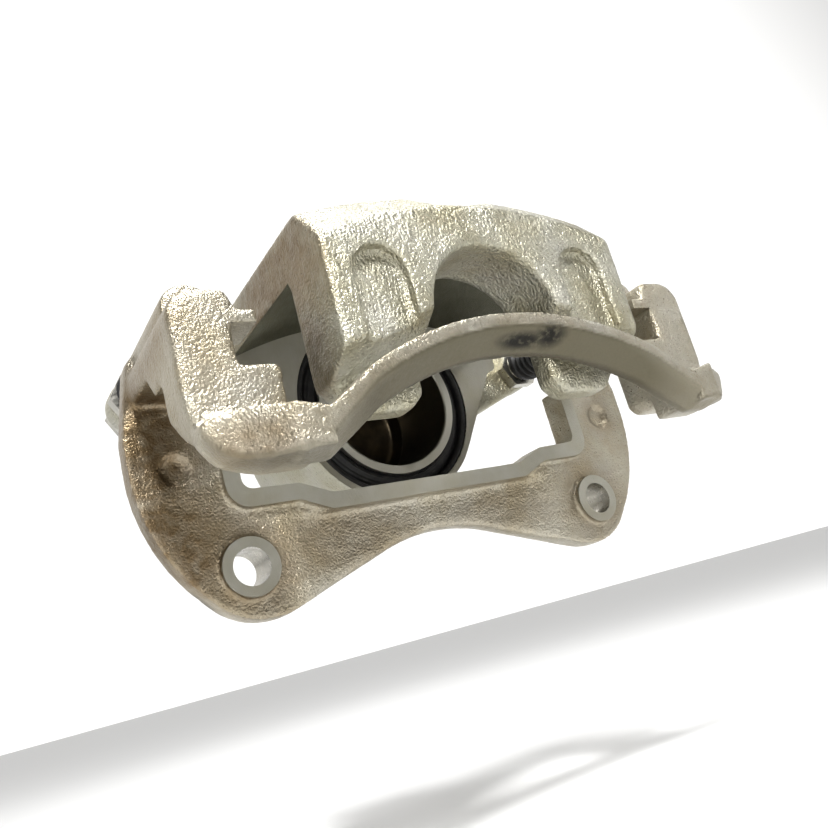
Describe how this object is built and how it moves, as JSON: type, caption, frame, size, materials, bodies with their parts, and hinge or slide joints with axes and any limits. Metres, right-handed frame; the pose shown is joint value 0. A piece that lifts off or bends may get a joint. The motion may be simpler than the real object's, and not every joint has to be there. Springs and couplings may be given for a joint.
{
  "type": "brake caliper",
  "caption": "Floating disc brake caliper on its anchor bracket: cast housing with cup piston and rubber boots, sliding on guide pins, with an arched tie bar across the pad opening.",
  "frame": {"origin": "middle of the two mounting bolt holes, on the machined outboard faces of their bosses", "axes": "+X tangential to the rotor, along the line of the two mounting bolts; +Y inboard, towards the piston and the vehicle's centre line, along the rotor's axis; +Z radially outward from the rotor's axis"},
  "size_m": [0.2136, 0.152, 0.1339],
  "materials": {
    "cast_bracket": "zinc-plated rough casting with faint yellow chromate tint",
    "cast_housing": "zinc-plated rough casting with faint yellow chromate tint",
    "piston_steel": "plated, turned",
    "seal_rubber": "matt",
    "boot_rubber": "matt",
    "pin_steel": "zinc plated, ground",
    "bolt_steel": "zinc plated",
    "bleeder_steel": "yellow zinc",
    "cap_rubber": "matt"
  },
  "bodies": {
    "bracket": {"anchor_bracket": "cast_bracket"},
    "housing": {"caliper_housing": "cast_housing", "piston_seal": "seal_rubber", "piston_boot": "boot_rubber", "guide_pin_left": "pin_steel", "guide_pin_right": "pin_steel", "guide_pin_bush": "seal_rubber", "pin_boot_left": "boot_rubber", "pin_boot_right": "boot_rubber", "pin_bolt_left": "bolt_steel", "pin_bolt_right": "bolt_steel"},
    "piston": {"piston": "piston_steel"},
    "bleeder": {"bleeder_screw": "bleeder_steel"},
    "cap": {"bleeder_cap": "cap_rubber"}
  },
  "joints": [
    {"name": "housing_slide", "type": "slide", "parent": "bracket", "child": "housing", "axis": [0, 1, 0], "range_m": [-0.002, 0.014], "deforming": ["pin_boot_left", "pin_boot_right"]},
    {"name": "piston_slide", "type": "slide", "parent": "housing", "child": "piston", "axis": [0, -1, 0], "range_m": [0, 0.03], "deforming": ["piston_boot"]},
    {"name": "bleeder_turn", "type": "hinge", "parent": "housing", "child": "bleeder", "pos_m": [-0.018, 0.06, 0.099], "axis": [0, 0, 1], "range_deg": [0, 270]},
    {"name": "cap_pull", "type": "slide", "parent": "bleeder", "child": "cap", "axis": [0, 0, 1], "range_m": [0, 0.012]}
  ]
}
